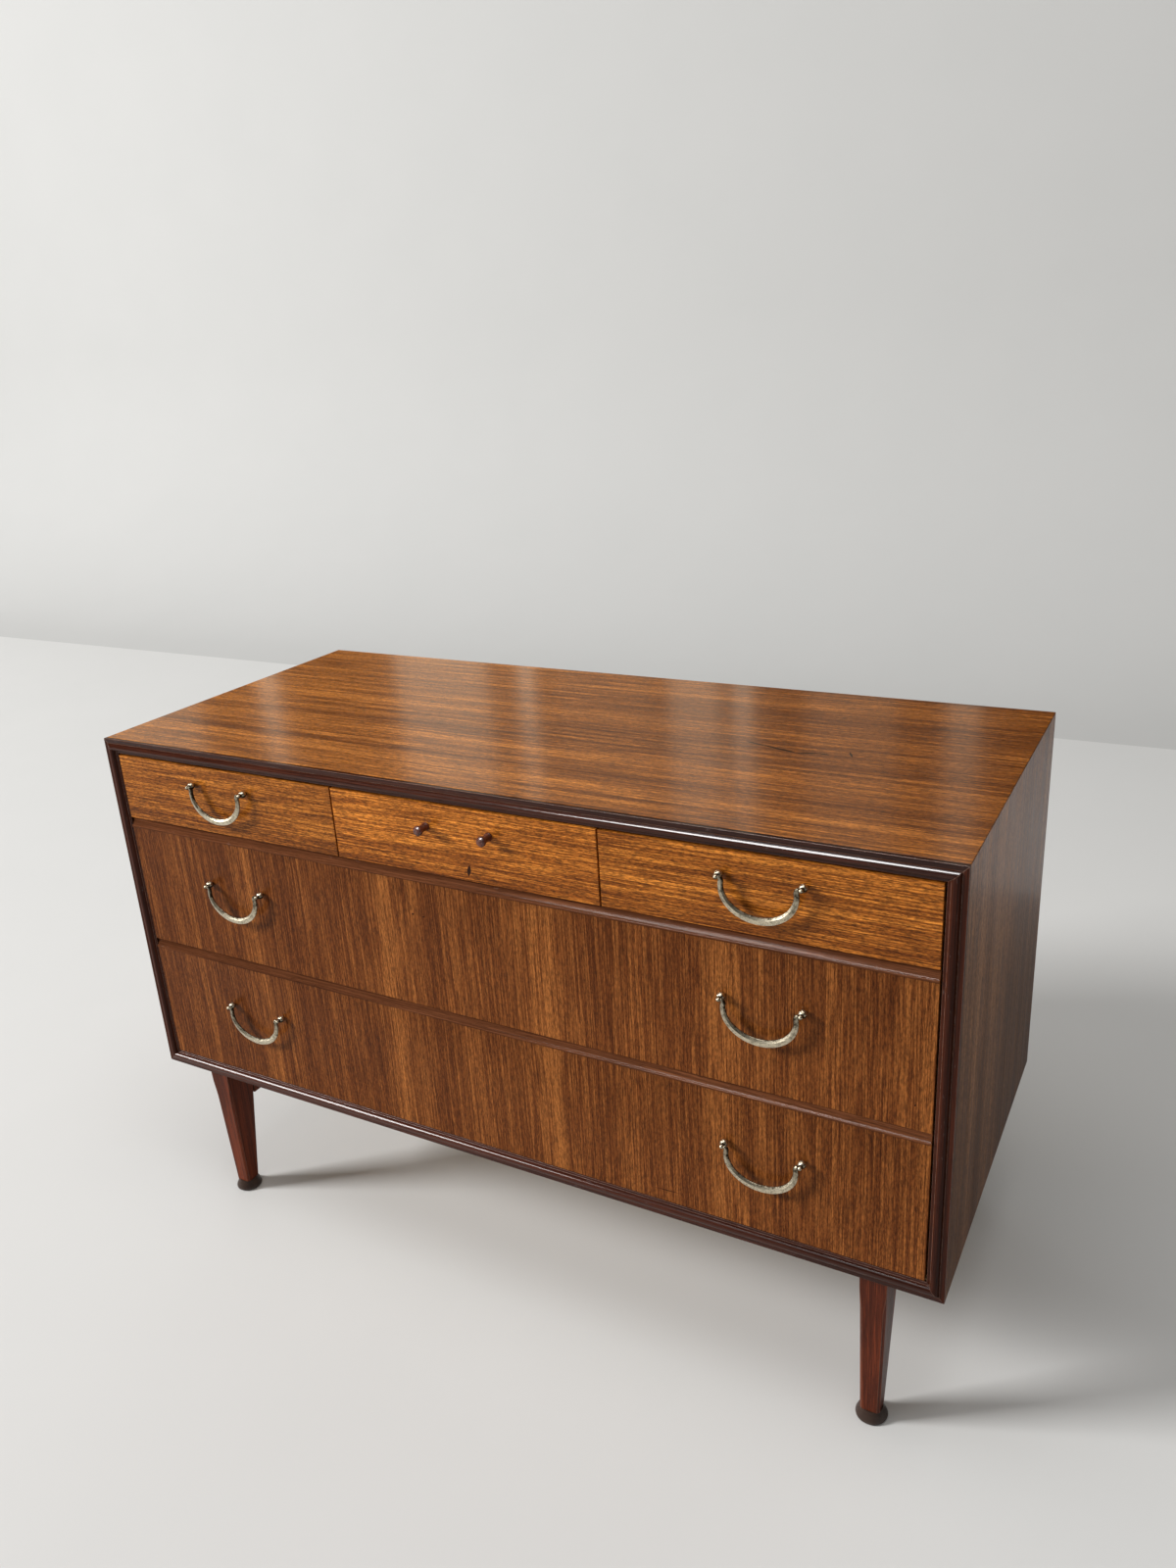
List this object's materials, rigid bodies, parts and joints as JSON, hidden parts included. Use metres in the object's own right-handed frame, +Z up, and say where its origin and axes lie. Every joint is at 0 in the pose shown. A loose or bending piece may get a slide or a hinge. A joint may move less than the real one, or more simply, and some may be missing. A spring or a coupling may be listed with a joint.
{
  "type": "chest of drawers",
  "caption": "Low wooden dresser on tapered legs: small drawers over full-width drawers, beaded front frame, hanging brass bail handles and turned wooden knobs.",
  "frame": {"origin": "on the floor under the middle of the bounding box", "axes": "+X to the right seen from the front, +Y towards the back, +Z up; drawers open along -Y"},
  "size_m": [1.07, 0.477, 0.686],
  "materials": {
    "top_veneer": "glossy lacquered veneer, grain along the width",
    "side_veneer": "satin lacquered veneer, upright grain",
    "small_front_veneer": "satin flecked veneer, grain along the width",
    "wide_front_veneer": "satin veneer, upright matched leaves",
    "moulding_wood": "dark red-brown lacquered solid wood",
    "leg_wood": "dark red-brown lacquered solid wood",
    "carcass_wood": "plain unfinished timber",
    "drawer_wood": "plain pale timber",
    "back_board": "plain plywood",
    "aged_brass": "worn pale brass with dark recesses",
    "knob_wood": "dark turned wood",
    "glide_brown": "dark brown moulded plastic"
  },
  "bodies": {
    "case": {"top_panel": "top_veneer", "side_panel_left": "side_veneer", "side_panel_right": "side_veneer", "bottom_panel": "carcass_wood", "back_panel": "back_board", "dust_board": "carcass_wood", "front_rail": "carcass_wood", "partition_left": "carcass_wood", "partition_right": "carcass_wood", "runner_left": "carcass_wood", "runner_right": "carcass_wood", "moulding_top": "moulding_wood", "moulding_bottom": "moulding_wood", "moulding_left": "moulding_wood", "moulding_right": "moulding_wood", "under_rail_left": "leg_wood", "under_rail_right": "leg_wood", "leg_front_left": "leg_wood", "glide_front_left": "glide_brown", "leg_front_right": "leg_wood", "glide_front_right": "glide_brown", "leg_back_left": "leg_wood", "glide_back_left": "glide_brown", "leg_back_right": "leg_wood", "glide_back_right": "glide_brown"},
    "drawer_top_left": {"front_top_left": "small_front_veneer", "box_top_left": "drawer_wood", "base_top_left": "drawer_wood", "post_top_left_inner": "aged_brass", "post_top_left_outer": "aged_brass"},
    "drawer_top_centre": {"front_top_centre": "small_front_veneer", "box_top_centre": "drawer_wood", "base_top_centre": "drawer_wood", "knob_left": "knob_wood", "knob_right": "knob_wood"},
    "drawer_top_right": {"front_top_right": "small_front_veneer", "box_top_right": "drawer_wood", "base_top_right": "drawer_wood", "post_top_right_inner": "aged_brass", "post_top_right_outer": "aged_brass"},
    "drawer_middle": {"front_middle": "wide_front_veneer", "box_middle": "drawer_wood", "base_middle": "drawer_wood", "post_middle_left_inner": "aged_brass", "post_middle_left_outer": "aged_brass", "post_middle_right_inner": "aged_brass", "post_middle_right_outer": "aged_brass"},
    "drawer_bottom": {"front_bottom": "wide_front_veneer", "box_bottom": "drawer_wood", "base_bottom": "drawer_wood", "post_bottom_left_inner": "aged_brass", "post_bottom_left_outer": "aged_brass", "post_bottom_right_inner": "aged_brass", "post_bottom_right_outer": "aged_brass"},
    "handle_top_left": {"bail_top_left": "aged_brass"},
    "handle_top_right": {"bail_top_right": "aged_brass"},
    "handle_middle_left": {"bail_middle_left": "aged_brass"},
    "handle_middle_right": {"bail_middle_right": "aged_brass"},
    "handle_bottom_left": {"bail_bottom_left": "aged_brass"},
    "handle_bottom_right": {"bail_bottom_right": "aged_brass"}
  },
  "joints": [
    {"name": "drawer_top_left_slide", "type": "slide", "parent": "case", "child": "drawer_top_left", "axis": [0, -1, 0], "range_m": [0, 0.34]},
    {"name": "drawer_top_centre_slide", "type": "slide", "parent": "case", "child": "drawer_top_centre", "axis": [0, -1, 0], "range_m": [0, 0.34]},
    {"name": "drawer_top_right_slide", "type": "slide", "parent": "case", "child": "drawer_top_right", "axis": [0, -1, 0], "range_m": [0, 0.34]},
    {"name": "drawer_middle_slide", "type": "slide", "parent": "case", "child": "drawer_middle", "axis": [0, -1, 0], "range_m": [0, 0.34]},
    {"name": "drawer_bottom_slide", "type": "slide", "parent": "case", "child": "drawer_bottom", "axis": [0, -1, 0], "range_m": [0, 0.34]},
    {"name": "handle_top_left_swing", "type": "hinge", "parent": "drawer_top_left", "child": "handle_top_left", "pos_m": [-0.3466, -0.2309, 0.6413], "axis": [-1, 0, 0], "range_deg": [-9, 178]},
    {"name": "handle_top_right_swing", "type": "hinge", "parent": "drawer_top_right", "child": "handle_top_right", "pos_m": [0.3466, -0.2309, 0.6413], "axis": [-1, 0, 0], "range_deg": [-9, 178]},
    {"name": "handle_middle_left_swing", "type": "hinge", "parent": "drawer_middle", "child": "handle_middle_left", "pos_m": [-0.3466, -0.2309, 0.508], "axis": [-1, 0, 0], "range_deg": [-9, 185]},
    {"name": "handle_middle_right_swing", "type": "hinge", "parent": "drawer_middle", "child": "handle_middle_right", "pos_m": [0.3466, -0.2309, 0.508], "axis": [-1, 0, 0], "range_deg": [-9, 185]},
    {"name": "handle_bottom_left_swing", "type": "hinge", "parent": "drawer_bottom", "child": "handle_bottom_left", "pos_m": [-0.3466, -0.2309, 0.333], "axis": [-1, 0, 0], "range_deg": [-9, 185]},
    {"name": "handle_bottom_right_swing", "type": "hinge", "parent": "drawer_bottom", "child": "handle_bottom_right", "pos_m": [0.3466, -0.2309, 0.333], "axis": [-1, 0, 0], "range_deg": [-9, 185]}
  ]
}
